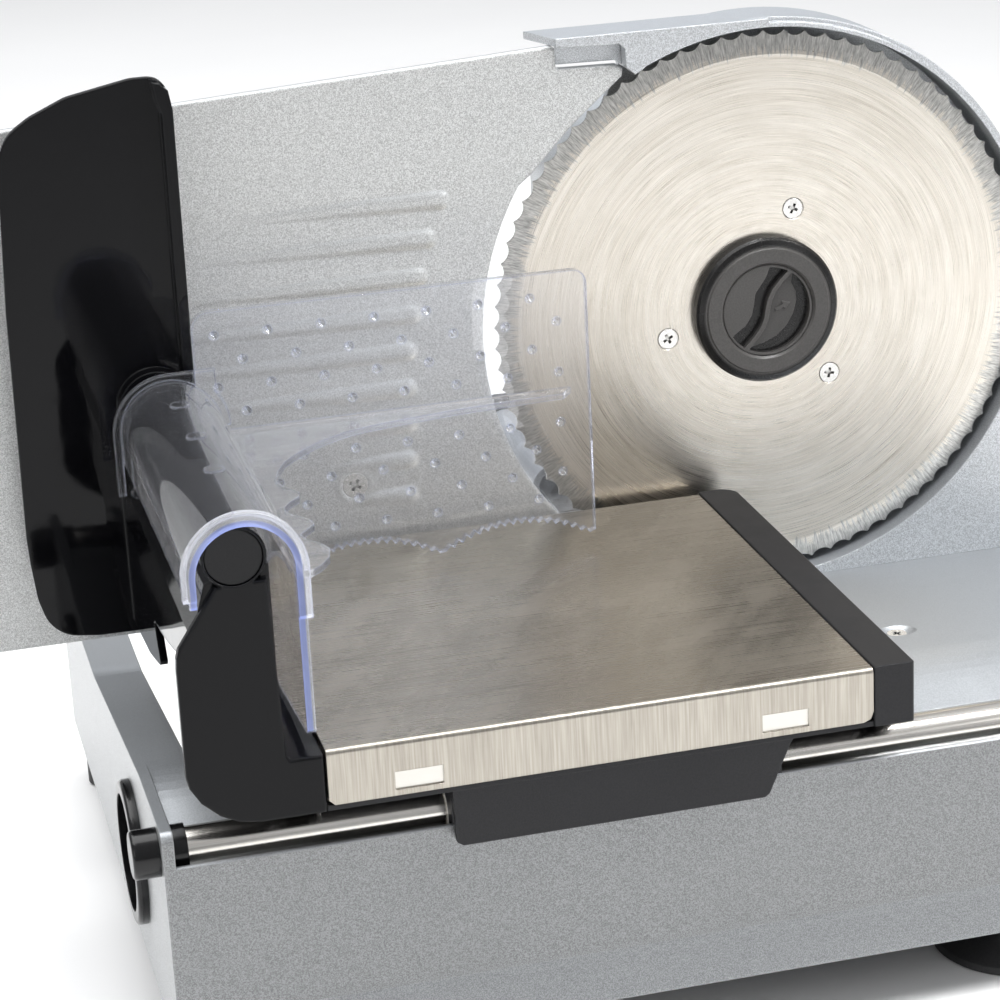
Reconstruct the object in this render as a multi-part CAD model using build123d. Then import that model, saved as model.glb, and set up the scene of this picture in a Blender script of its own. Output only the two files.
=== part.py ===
from build123d import *
import os
from math import sin, cos, tan, pi, radians, degrees, atan2, sqrt, hypot, acos

# Deli meat slicer with a 190 mm scalloped blade.  Millimetres, +Z up.
# Working frame: blade centre at the origin, blade front face on y = 0,
# +X the way the food carriage travels, +Y away from the user.
# On export everything is shifted so that the origin lies at table level,
# in the middle of the footprint.
export_shift = (89.0, 18.0, 177.0)

os.makedirs("parts", exist_ok=True)

# ---------------------------------------------------------------- shared dimensions
wall = 2.5
running_gap = 0.05        # radial

# blade and its housing
blade_r = 95.0            # over the tooth tips
blade_t = 1.5
teeth = 81
tooth_depth = 1.6
recess_r = 97.0           # well the blade turns in
guard_r = 100.0
face_y = -4.5             # front face of the housing
well_y = 17.5             # rear face of the blade well
well_front = well_y - wall

# base: U-shaped in plan, a left arm and a motor block joined by a front bar
table_z = -177.0          # feet rest here
base_z = -157.0           # lower edge
ridge_y, ridge_z = -121.0, -83.5
well_z = -98.5            # top where it meets the blade housing
front_y, rear_y = -166.0, 98.0
base_x0, base_x1 = -240.0, 106.0
arm_x = -224.0            # right side of the left arm
bar_y = -105.0            # rear side of the front bar
block_x = -78.0           # left side of the motor block
top_front_y = -145.0      # where the rail step meets the top
step_z = -101.8           # floor of the rail step
slope_end_y = -5.0

# pairs in this block are (y, z) for parts along X, (x, z) along Y, (x, y) along Z
rail, rail_r = (-155.0, -92.6), 6.0
bush_r, bush_len = 7.5, 22.0
cord_port = (-95.0, -120.5)
top_screw = (13.2, -87.6)
post_xy = [(-231.9, 60.0), (-200.0, -122.0), (-100.0, -122.0),
           (70.0, -122.0), (92.0, 86.0), (-66.0, 86.0)]
feet_xy = [(31.0, -141.0), (-206.0, -141.0), (66.0, 62.0)]
arm_foot = (-231.9, 84.0)
cover_screw_xz = [(-48.5, 30.0), (-48.5, -30.0), (52.0, 50.0), (85.0, 10.0), (72.0, -50.0)]
plate_posts = [(3.0, -15.0), (84.0, -22.0), (3.0, -90.0), (84.0, -90.0)]
left_plate_posts = plate_posts[::2]
thickness_axis = (-67.0, -71.5)
guide_axis = (-67.0, -80.0)
button = (38.0, -36.0)
grip = (-213.4, -0.5)
carriage_screw_yz = [(-150.0, -71.0), (-90.0, -71.0), (-26.0, -71.0)]

# power cord: two strands lying on the table behind the machine
relief_x, relief_z = 62.0, -136.0
cord_r = 3.2
cord_z = table_z + cord_r + 0.3
far_strand_y, near_strand_y = rear_y + 38.0, rear_y + 14.0
plug_x = 20.0

# food carriage
tray_x0, tray_x1 = -192.0, -27.5
tray_y0, tray_y1 = -171.0, -6.0
tray_z0, tray_z1 = -79.0, -62.0
cap_x1 = -14.5
frame_z0 = -80.8
slide_x0, slide_x1 = -156.0, -55.5      # slide block on the rail
grip_r = 9.2
shield_y0, shield_y1 = -22.5, -20.0

# gauge plate
gauge_y0, gauge_y1 = -1.2, 1.3
gauge_x0, gauge_z0 = -292.0, -86.7
gauge_arc_r = 99.4
gauge_screw = (-146.4, -44.4)

# switch on the right wall
switch_y, switch_z = 64.0, -36.0
rocker_x = 99.4

# gears: motor pinion -> idler wheel, idler pinion -> blade gear
blade_module, blade_teeth, idler_pinion_teeth = 1.5, 60, 12
motor_module, idler_teeth, motor_teeth = 1.0, 48, 12
idler_dir, motor_dir = -50.0, -60.0     # direction from the gear before, degrees
pressure_angle = radians(25.0)
backlash, addendum, dedendum = 0.18, 0.9, 1.2   # the last two in modules


# ---------------------------------------------------------------- helpers
def box(x0, x1, y0, y1, z0, z1):
    middle = Pos((x0 + x1) / 2, (y0 + y1) / 2, (z0 + z1) / 2)
    return middle * Box(x1 - x0, y1 - y0, z1 - z0)


def prism(points, direction):
    face = Face(Wire.make_polygon([Vector(*p) for p in points], close=True))
    return Solid.extrude(face, Vector(*direction))


def prism_x(points, x0, x1):
    return prism([(x0, y, z) for y, z in points], (x1 - x0, 0, 0))


def prism_y(points, y0, y1):
    return prism([(x, y0, z) for x, z in points], (0, y1 - y0, 0))


def prism_z(points, z0, z1):
    return prism([(x, y, z0) for x, y in points], (0, 0, z1 - z0))


def cyl_x(y, z, r, x0, x1):
    return Pos((x0 + x1) / 2, y, z) * Rot(0, 90, 0) * Cylinder(r, x1 - x0)


def cyl_y(x, z, r, y0, y1):
    return Pos(x, (y0 + y1) / 2, z) * Rot(90, 0, 0) * Cylinder(r, y1 - y0)


def cyl_z(x, y, r, z0, z1):
    return Pos(x, y, (z0 + z1) / 2) * Cylinder(r, z1 - z0)


def cone_y(x, z, r0, r1, y0, y1):
    return Pos(x, (y0 + y1) / 2, z) * Rot(-90, 0, 0) * Cone(r0, r1, y1 - y0)


def cone_z(x, y, r0, r1, z0, z1):
    return Pos(x, y, (z0 + z1) / 2) * Cone(r0, r1, z1 - z0)


def turned_y(points):
    """Solid of revolution about Y from (radius, y) points."""
    face = Face(Wire.make_polygon([Vector(r, y, 0) for r, y in points], close=True))
    return revolve(face, Axis.Y, 360)


def largest(shape):
    return max(shape.solids(), key=lambda solid: solid.volume)


def soften(shape, edges, radius, scales=(1.0, 0.6, 0.35)):
    """Fillet edges, with smaller radii if need be, or leave them sharp."""
    for scale in scales:
        # guards against a fillet the kernel cannot build
        try:
            return fillet(edges, radius * scale)
        except Exception:
            continue
    return shape


def soften_end(shape, axis, end, radius, **options):
    """Soften the edges lying first (0) or last (-1) along an axis."""
    return soften(shape, shape.edges().group_by(axis)[end], radius, **options)


def polar(radius, angle):
    return radius * cos(radians(angle)), radius * sin(radians(angle))


def arc_points(radius, start, end, steps):
    return [polar(radius, start + (end - start) * k / steps) for k in range(steps + 1)]


def heading(start, end):
    """Unit vector from start to end, and the distance."""
    across, along = end[0] - start[0], end[1] - start[1]
    length = hypot(across, along)
    return (across / length, along / length), length


def rounded(points, radii, steps=6):
    """Polygon with corners rounded by one radius, or by one per corner."""
    if not isinstance(radii, list):
        radii = [radii] * len(points)
    result = []
    for i, (corner, radius) in enumerate(zip(points, radii)):
        if not radius:
            result.append(corner)
            continue
        back, back_len = heading(corner, points[i - 1])
        ahead, ahead_len = heading(corner, points[(i + 1) % len(points)])
        dot = back[0] * ahead[0] + back[1] * ahead[1]
        half = acos(max(-1, min(1, dot))) / 2
        setback = min(radius / tan(half), back_len * 0.49, ahead_len * 0.49)
        radius = setback * tan(half)
        bisector, _ = heading((0, 0), (back[0] + ahead[0], back[1] + ahead[1]))
        centre = [corner[j] + bisector[j] * radius / sin(half) for j in (0, 1)]
        first, last = [
            atan2(corner[1] + way[1] * setback - centre[1],
                  corner[0] + way[0] * setback - centre[0])
            for way in (back, ahead)]
        sweep_angle = (last - first + pi) % (2 * pi) - pi
        for k in range(steps + 1):
            angle = first + sweep_angle * k / steps
            result.append((centre[0] + radius * cos(angle), centre[1] + radius * sin(angle)))
    return result


def cross_y(x, z, y, width=1.1, span=3.6, depth=1.2, turn=0.0):
    """Cutter for a cross recess in a head facing along Y."""
    cross = Box(span, depth * 2, width) + Box(width, depth * 2, span)
    return Pos(x, y, z) * Rot(0, turn, 0) * cross


def cross_z(x, y, z, width=1.0, span=3.4, depth=1.1, turn=0.0):
    """Cutter for a cross recess in a head facing along Z."""
    cross = Box(span, width, depth * 2) + Box(width, span, depth * 2)
    return Pos(x, y, z) * Rot(0, 0, turn) * cross


def flat_screw(cylinder, cross, at, head_r, shank_r, stations):
    """Screw with a cylindrical head.

    stations: head face, head back, shank start, shank end.
    """
    face, back, start, end = stations
    head = cylinder(*at, head_r, face, back)
    return largest(head + cylinder(*at, shank_r, start, end) - cross(*at, face))


def csk_screw(x, z, y, head_r, shank_r, length, turn):
    """Countersunk screw whose flat head faces -Y at y."""
    rise = head_r - shank_r
    screw = cone_y(x, z, head_r, shank_r, y, y + rise)
    screw = screw + cyl_y(x, z, shank_r, y + rise, y + length)
    return largest(screw - cross_y(x, z, y, head_r * 0.26, head_r * 1.0, rise * 0.6, turn))


def csk_hole(x, z, y, head_r, shank_r, length, gap):
    rise = head_r - shank_r
    return (cone_y(x, z, head_r + gap, shank_r + gap, y - 0.001, y + rise)
            + cyl_y(x, z, head_r + gap, y - 3, y)
            + cyl_y(x, z, shank_r + gap, y, y + length + 0.5))


def involute(angle):
    return tan(angle) - angle


def gear_wheel(module, count, start, centre, y0, y1):
    """Spur gear along Y, first tooth pointing at start degrees."""
    pitch_r = module * count / 2
    base_r = pitch_r * cos(pressure_angle)
    tip_r = pitch_r + addendum * module
    root_r = pitch_r - dedendum * module
    half = pi / (2 * count) - backlash / 2 / pitch_r + involute(pressure_angle)
    low_r = max(base_r, root_r)
    flank = []                # (radius, half tooth angle)
    for i in range(5):
        r = low_r + (tip_r - low_r) * i / 4
        flank.append((r, half - involute(acos(min(1.0, base_r / r)))))
    if root_r < base_r:
        flank.insert(0, (root_r, half))
    points = []
    for k in range(count):
        middle = radians(start) + 2 * pi * k / count
        sides = [(r, middle - h) for r, h in flank]
        sides += [(r, middle + h) for r, h in reversed(flank)]
        points += [(centre[0] + r * cos(a), centre[1] + r * sin(a)) for r, a in sides]
    return prism_y(points, y0, y1)


# ---------------------------------------------------------------- derived places
idler = polar(blade_module * (blade_teeth + idler_pinion_teeth) / 2, idler_dir)
motor_x, motor_z = polar(motor_module * (idler_teeth + motor_teeth) / 2, motor_dir)
motor = (idler[0] + motor_x, idler[1] + motor_z)
motor_screw_xz = [(motor[0] + side, motor[1]) for side in (-20, 20)]
blade_screw_r, blade_screw_angle = 35.3, 71.7
blade_screw_xz = [polar(blade_screw_r, blade_screw_angle + 120 * k) for k in range(3)]


def top_z(y):
    """Height of the base top."""
    if y <= ridge_y:
        return ridge_z + (y - ridge_y) * 7.0 / (ridge_y - top_front_y)
    if y <= slope_end_y:
        return ridge_z + (y - ridge_y) * (well_z - ridge_z) / (slope_end_y - ridge_y)
    return well_z


top_screw_z = top_z(top_screw[1])


# ---------------------------------------------------------------- base
def front_skirt(inset):
    return [(front_y - 4.6 + inset, base_z), (front_y - 1.0 + inset, base_z + 12.0),
            (front_y - 0.2 + inset, base_z + 14.5), (front_y + inset, base_z + 17.0)]


def rear_wall(inset):
    return [(rear_y - inset, well_z - inset), (rear_y - inset, base_z)]


def base_profile(inset):
    """(y, z) section of the base, the rail step in front of the crest."""
    if inset:
        middle = [(front_y + inset, step_z - inset), (top_front_y + inset, step_z - inset),
                  (top_front_y + inset, -90.6 - inset),
                  (ridge_y, ridge_z - inset), (slope_end_y, well_z - inset)]
    else:
        middle = [(front_y, -93.9), (front_y + 0.4, -93.5), (front_y + 1.4, -93.5),
                  (front_y + 1.4, step_z), (top_front_y, step_z)]
        middle += rounded([(top_front_y, -90.6), (ridge_y, ridge_z), (slope_end_y, well_z)],
                          [0, 60, 0])
    return front_skirt(inset) + middle + rear_wall(inset)


def end_profile():
    """(y, z) section of the end walls, which close off the rail step."""
    top = rounded([(front_y, base_z - 40), (front_y, -82.6), (ridge_y, ridge_z),
                   (slope_end_y, well_z)], [0, 3.0, 40, 0])
    return front_skirt(0) + top[1:] + rear_wall(0)


def bar_profile(inset):
    """The part of the base section in front of bar_y."""
    rear = bar_y - inset
    front = [p for p in base_profile(inset) if p[0] <= rear]
    return front + [(rear, top_z(bar_y) - inset), (rear, base_z)]


def base_housing():
    arm = prism_x(base_profile(0), base_x0 + 3.0, arm_x)
    bar = prism_x(bar_profile(0), arm_x - 0.1, block_x + 0.1)
    block = prism_x(base_profile(0), block_x, base_x1 - 3.0)
    left_end = prism_x(end_profile(), base_x0, base_x0 + 3.5)
    right_end = prism_x(end_profile(), base_x1 - 3.5, base_x1)
    base = arm + bar + block + left_end + right_end
    # hollow underside
    base -= prism_x(base_profile(wall), base_x0 + wall, arm_x - wall)
    base -= prism_x(bar_profile(wall), base_x0 + wall, block_x + wall)
    base -= prism_x(base_profile(wall), block_x + wall, base_x1 - wall)
    base -= box(base_x0 + wall, base_x1 - wall, front_y + wall, bar_y - wall,
                base_z - 1, base_z + 12)
    # rail bores through both end walls
    base -= cyl_x(*rail, 7.3, base_x0 - 1, base_x0 + 4.5)
    base -= cyl_x(*rail, 7.3, base_x1 - 4.5, base_x1 + 1)
    base -= cyl_x(*cord_port, 20.0, base_x0 - 1, base_x0 + 5)
    # opening in the top for the drive below the motor cover
    base -= box(-50, 95, 24, 92, well_z - 4, well_z + 1)
    # dished seat and pilot hole of the top screw
    base -= Pos(*top_screw, top_screw_z + 6.0) * Sphere(8.6)
    base -= cyl_z(*top_screw, 1.56, top_screw_z - 8, top_screw_z + 2)
    # screw posts for the underside cover
    for at in post_xy:
        base += cyl_z(*at, 4.0, base_z + 3.2, top_z(at[1]) - 1.0)
        base -= cyl_z(*at, 1.4, base_z + 3.0, base_z + 18)
    base = largest(base)
    base = largest(base - cyl_y(relief_x, relief_z, 6.3, rear_y - 6, rear_y + 2))
    countersink = cone_z(*top_screw, 1.56, 3.4, top_screw_z - 2.95, top_screw_z - 1.05)
    return largest(base - (countersink + cyl_z(*top_screw, 1.56, top_screw_z - 9, top_screw_z)))


def base_bottom_cover():
    """Underside cover, dropped into the lower edge of the housing."""
    inset = wall + 0.25
    front, rear, bar_rear = front_y + 1.0 + inset, rear_y - inset, bar_y - inset
    cover = prism_z([(base_x0 + inset, front), (base_x1 - inset, front),
                     (base_x1 - inset, rear), (block_x + inset, rear),
                     (block_x + inset, bar_rear), (arm_x - inset, bar_rear),
                     (arm_x - inset, rear), (base_x0 + inset, rear)], base_z + 0.4, base_z + 2.9)
    holes = [(at, 1.7) for at in post_xy] + [(at, 2.1) for at in feet_xy] + [(arm_foot, 1.6)]
    for at, radius in holes:
        cover -= cyl_z(*at, radius, base_z - 1, base_z + 4)
    for k in range(7):        # vent slots
        cover -= box(-30 + k * 9, -26 + k * 9, 10, 40, base_z - 1, base_z + 4)
    return largest(cover)


def base_cover_screws():
    stations = (base_z - 1.6, base_z + 0.35, base_z + 0.3, base_z + 14)
    return [flat_screw(cyl_z, cross_z, at, 3.0, 1.4, stations) for at in post_xy]


def suction_feet():
    # (radius, z) of the stem, body and flared cup
    profile = [
        (0, base_z + 0.35), (16, base_z + 0.35), (17, base_z - 1.5), (17, base_z - 8),
        (15, base_z - 10.5), (18.5, base_z - 13), (24.5, table_z + 2.2), (25.5, table_z + 0.4),
        (25.0, table_z), (23.0, table_z), (16, table_z + 4.5), (6, table_z + 6.5),
        (0, table_z + 7.0)]
    feet = []
    for x, y in feet_xy:
        face = Face(Wire.make_polygon([Vector(r, 0, z) for r, z in profile], close=True))
        foot = Pos(x, y, 0) * revolve(face, Axis.Z, 360)
        foot -= cyl_z(x, y, 2.05, base_z - 8.2, base_z + 1)
        foot -= cyl_z(x, y, 4.6, table_z + 2, base_z - 8)
        feet.append(largest(foot))
    # plain foot under the left arm
    foot = (cyl_z(*arm_foot, 6.2, table_z, base_z - 0.05)
            + cyl_z(*arm_foot, 4.6, base_z - 0.5, base_z + 0.35)
            - cyl_z(*arm_foot, 1.55, table_z + 6, base_z + 1)
            - cyl_z(*arm_foot, 3.2, table_z - 1, table_z + 6.05))
    return feet + [largest(soften_end(foot, Axis.Z, 0, 1.0))]


def foot_screws():
    stations = (base_z - 10.6, base_z - 8.05, base_z - 8.1, base_z + 8)
    screws = [flat_screw(cyl_z, cross_z, at, 4.0, 2.0, stations) for at in feet_xy]
    arm_stations = (table_z + 3.6, table_z + 6.0, table_z + 5.9, base_z + 12)
    return screws + [flat_screw(cyl_z, cross_z, arm_foot, 3.0, 1.5, arm_stations)]


def base_top_screw():
    z = top_screw_z
    screw = cone_z(*top_screw, 1.5, 3.3, z - 2.9, z - 1.1)
    screw = screw + cyl_z(*top_screw, 1.5, z - 7.5, z - 2.8)
    recess = cross_z(*top_screw, z - 1.1, width=0.9, span=3.2, depth=0.9, turn=20)
    return largest(screw - recess)


# ---------------------------------------------------------------- carriage rail
def carriage_rail():
    return largest(cyl_x(*rail, rail_r, base_x0 - 4.0, base_x1 + 4.0))


def rail_cap(wall_x, side):
    """Cap over one rail end; side is -1 on the left, 1 on the right."""
    cap = cyl_x(*rail, 7.25, wall_x - 8.0, wall_x + 8.0)
    cap = soften_end(cap, Axis.X, 0 if side < 0 else -1, 1.2)
    bore_x = sorted((wall_x - 9 * side, wall_x + 4.02 * side))
    return largest(cap - cyl_x(*rail, rail_r + 0.02, *bore_x))


def rail_cap_left():
    return rail_cap(base_x0, -1)


def rail_cap_right():
    return rail_cap(base_x1, 1)


# ---------------------------------------------------------------- power cord
def cord_port_bezel():
    bezel = cyl_x(*cord_port, 22.6, base_x0 - 3.4, base_x0 - 0.02)
    bezel = soften_end(bezel, Axis.X, 0, 1.3)
    bezel += cyl_x(*cord_port, 19.9, base_x0 - 2.0, base_x0 + 6.0)
    bezel -= cyl_x(*cord_port, 18.4, base_x0 - 6.0, base_x0 + 4.5)
    return largest(bezel)


def strain_relief():
    at = (relief_x, relief_z)
    relief = (cyl_y(*at, 8.5, rear_y + 0.02, rear_y + 2.5)
              + cyl_y(*at, 6.2, rear_y - 5.0, rear_y + 2.5)
              + cone_y(*at, 6.2, 4.6, rear_y + 2.5, rear_y + 12.0))
    for k in range(2):        # grooves round the cone
        y = rear_y + 3.4 * k
        relief -= cyl_y(*at, 9.0, y + 4.4, y + 5.8) - cyl_y(*at, 4.4, y + 4.0, y + 6.2)
    relief -= cyl_y(*at, 3.25, rear_y - 7, rear_y + 22)
    return largest(relief)


def power_cord():
    bend = 14.0
    cut = bend - bend * sin(radians(45))
    loop_x = -60
    x, far, near = relief_x, far_strand_y, near_strand_y
    # two points make a line, three an arc
    segments = [
        [(x, rear_y - 4, relief_z), (x, far - bend, relief_z)],
        [(x, far - bend, relief_z), (x, far - cut, relief_z - cut), (x, far, relief_z - bend)],
        [(x, far, relief_z - bend), (x, far, cord_z + bend)],
        [(x, far, cord_z + bend), (x - cut, far, cord_z + cut), (x - bend, far, cord_z)],
        [(x - bend, far, cord_z), (loop_x, far, cord_z)],
        [(loop_x, far, cord_z), (loop_x - (far - near) / 2, (far + near) / 2, cord_z),
         (loop_x, near, cord_z)],
        [(loop_x, near, cord_z), (24, near, cord_z)]]
    edges = []
    for segment in segments:
        make = Edge.make_line if len(segment) == 2 else Edge.make_three_point_arc
        edges.append(make(*[Vector(*p) for p in segment]))
    section = Plane(origin=segments[0][0], z_dir=(0, 1, 0)) * Circle(cord_r)
    return largest(sweep(section, path=Wire(edges)))


def power_plug():
    half, y = 9.5, near_strand_y
    outline = rounded([(plug_x + 34, y + half), (plug_x + 12, y + half), (plug_x, y + 6),
                       (plug_x, y - 6), (plug_x + 12, y - half), (plug_x + 34, y - half)],
                      [2, 6, 3, 3, 6, 2])
    plug = prism_z(outline, table_z + 0.1, table_z + 14.5)
    plug = soften_end(plug, Axis.Z, -1, 2.0)
    return largest(plug - cyl_x(y, cord_z, cord_r + 0.02, plug_x - 4.0, 24.02))


def plug_pins():
    z = table_z + 7.3
    pins = []
    for side in (-6.35, 6.35):
        y = near_strand_y + side
        pin = box(plug_x + 34.02, plug_x + 51.0, y - 0.8, y + 0.8, z - 3.2, z + 3.2)
        tip_edges = pin.edges().filter_by(Axis.Y).group_by(Axis.X)[-1]
        pins.append(largest(soften(pin, tip_edges, 2.0)))
    return pins


# ---------------------------------------------------------------- blade housing
def blade_housing():
    well = cyl_y(0, 0, recess_r, face_y - 5, well_y - wall)
    body = cyl_y(0, 0, guard_r, -2.4, well_y)
    body += cyl_y(0, 0, 98.4, face_y, 0)
    body += prism_y([(0, 0), (guard_r, 0), (guard_r, well_z), (0, well_z)], face_y, well_y)
    body += prism_y([(-56, -60), (10, -60), (10, well_z), (-56, well_z)], face_y + 2.5, well_y)
    body -= well
    # open on the left, where the slices leave
    body -= prism_y([(-130, 130), (-44.6, 130), (-44.6, 85.3), (-56.0, 60), (-56.0, -70),
                     (-46.5, -82), (-46.5, -130), (-130, -130)], -20, 40)
    # hollow the thick lower right corner from behind
    corner = prism_y([(60, -88), (97.5, -40), (97.5, -96), (58, -96)], face_y + 2.5, well_y + 1)
    body -= corner - cyl_y(0, 0, 99.8, -30, 40)
    # overhanging top arm
    arm = prism_y([(-47.3, 88.4), (-44.4, 85.7), (-41.5, 87.4)]
                  + arc_points(recess_r, 115.0, 91.0, 8)
                  + [(0, 99.9), (-69.6, 99.9), (-69.6, 96.9), (-49.6, 96.4), (-47.6, 94.6)],
                  face_y, 1.0)
    roof = prism_z([(2, face_y), (-71.0, face_y), (-77.0, 14.0), (2, 14.0)], 97.4, 99.9)
    lip = prism_y([(-69.6, 99.9), (-46.0, 99.9), (-46.0, 96.4), (-69.6, 97.2)],
                  face_y, face_y + 2.2)
    back = prism_y([(-47.3, 88.4), (-44.4, 85.7), (-20, 96.0), (0, 97.4), (0, 99.9),
                    (-46, 99.9)], -1.0, 3.0)
    flange = prism_y([(-69.7, 98.2), (-69.7, 90.4), (-49.7, 90.0), (-47.2, 88.3),
                      (-44.2, 86.4), (-43.0, 90.0), (-43.0, 98.2)], 1.6, 3.4)
    body = body + arm + roof + lip + back + flange
    body -= box(-200, 200, -50, 50, -140, well_z + 0.04)
    body = largest(body)
    # holes through the rear wall: axle, idler, screws
    holes = [((0, 0), 4.02), (idler, 8.0)]
    holes += [(at, 1.55) for at in cover_screw_xz + left_plate_posts]
    for at, radius in holes:
        body -= cyl_y(*at, radius, well_y - 4, well_y + 2)
    return largest(body)


def motor_cover():
    """Rear cover over motor and gears."""
    outside = rounded([(-78, -98.3), (guard_r, -98.3), (guard_r, 62), (-40, 62), (-56, 40),
                       (-56, -56), (-78, -56)], [0, 0, 55, 25, 20, 5, 8], 8)
    inside = rounded([(-75.5, -95.8), (97.5, -95.8), (97.5, 59.5), (-38.6, 59.5), (-53.5, 39),
                      (-53.5, -58.5), (-75.5, -58.5)], [0, 0, 52.5, 22.5, 17.5, 3, 5.5], 8)
    cover = prism_y(outside, well_y + 0.05, rear_y - 0.5)
    rear_edges = cover.edges().group_by(Axis.Y)[-1]
    for ease, size in ((fillet, 4.0), (chamfer, 2.0)):
        # the kernel may refuse the fillet, then a chamfer stands in
        try:
            cover = ease(rear_edges, size)
            break
        except Exception:
            continue
    cover -= prism_y(inside, well_y - 1, rear_y - 3.2)
    cover -= box(-90, -56, well_y - 1, 26, -120, -50)
    # bosses and bores of the gauge guide rod and the thickness screw
    cover += (cyl_y(*guide_axis, 4.1, 84.0, rear_y - 3.0)
              + cyl_y(*thickness_axis, 4.1, 90.0, rear_y - 3.0))
    cover -= cyl_y(*guide_axis, 3.02, 80, rear_y - 4.0)
    cover -= cyl_y(*thickness_axis, 3.0 + running_gap, 80, rear_y + 2)
    for k in range(9):        # vent slots
        x = 20 + 7 * k
        cover -= box(x - 1.4, x + 1.4, rear_y - 5, rear_y + 1, -20, 22)
    # openings for switch and button
    cover -= box(95, 102, switch_y - 8.0, switch_y + 8.0, switch_z - 12.0, switch_z + 12.0)
    cover -= cyl_x(*button, 8.0, 95, 102)
    for at in cover_screw_xz:
        post = cyl_y(*at, 4.2, well_y + 0.05, well_y + 14)
        cover += post & prism_y(outside, well_y, rear_y)
        cover -= cyl_y(*at, 1.52, well_y - 1, well_y + 12)
    # raised triangle above the thickness knob
    x, z = thickness_axis
    cover += prism_y([(x - 2.2, z + 24.5), (x + 2.2, z + 24.5), (x, z + 21.2)],
                     rear_y - 1.0, rear_y + 0.4)
    return largest(cover)


def cover_screws():
    stations = (well_front - 1.6, well_front - 0.02, well_front - 0.1, well_y + 10)
    return [flat_screw(cyl_y, cross_y, at, 3.0, 1.5, stations) for at in cover_screw_xz]


# ---------------------------------------------------------------- blade group
def blade():
    def rim(radius, angle):
        return Vector(radius * cos(angle), 0, radius * sin(angle))

    pitch = 360.0 / teeth
    half_tip = 0.45 / blade_r / 2       # half the flat on each tooth tip, as an angle
    edges = []
    for k in range(teeth):
        start = radians(k * pitch) + half_tip
        end = radians((k + 1) * pitch) - half_tip
        next_start = radians((k + 1) * pitch) + half_tip
        valley = rim(blade_r - tooth_depth, (start + end) / 2)
        edges.append(Edge.make_three_point_arc(rim(blade_r, start), valley, rim(blade_r, end)))
        edges.append(Edge.make_line(rim(blade_r, end), rim(blade_r, next_start)))
    disc = Solid.extrude(Face(Wire(edges)), Vector(0, blade_t, 0))
    # ring section with the front face ground back towards the edge
    disc = disc & turned_y([(15.2, 0), (87.2, 0), (97.0, 1.12), (97.0, blade_t),
                            (15.2, blade_t)])
    for at in blade_screw_xz:
        disc -= csk_hole(*at, 0.0, 3.6, 1.75, 3, 0.24)
    return largest(disc)


def blade_gear():
    gear = cyl_y(0, 0, 42.0, blade_t + 0.02, 3.2) + cyl_y(0, 0, 15.1, 0.1, 3.2)
    gear += gear_wheel(blade_module, blade_teeth, idler_dir, (0, 0), 3.0, 12.8)
    gear -= cyl_y(0, 0, 39.5, 6.5, 14) - cyl_y(0, 0, 11.0, 5, 15)
    for k in range(3):        # lightening holes between the screws
        gear -= cyl_y(*polar(27, blade_screw_angle + 60 + 120 * k), 7.0, 0, 14)
    gear -= cyl_y(0, 0, 5.0 + running_gap, -2, 14)
    for at in blade_screw_xz:
        gear += cyl_y(*at, 3.6, 3.2, 11.0)
        gear -= csk_hole(*at, 0.0, 3.6, 1.75, 8.5, 0.05)
    return largest(gear)


def blade_screws():
    return [csk_screw(*at, 0.05, 3.55, 1.7, 8.4, turn=25 + 37 * i)
            for i, at in enumerate(blade_screw_xz)]


def blade_hub():
    # (radius, y) points
    hub = turned_y([(6.0, -1.4), (16.2, -1.4), (16.2, -4.2), (17.0, -5.0), (21.6, -5.2),
                    (22.0, -4.7), (22.5, -4.7), (22.9, -4.9), (24.6, -4.4), (25.4, -3.4),
                    (25.4, -0.03), (6.0, -0.03)])
    for at in blade_screw_xz:
        hub -= cyl_y(*at, 4.2, -9, 1)
    return largest(hub)


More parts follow.
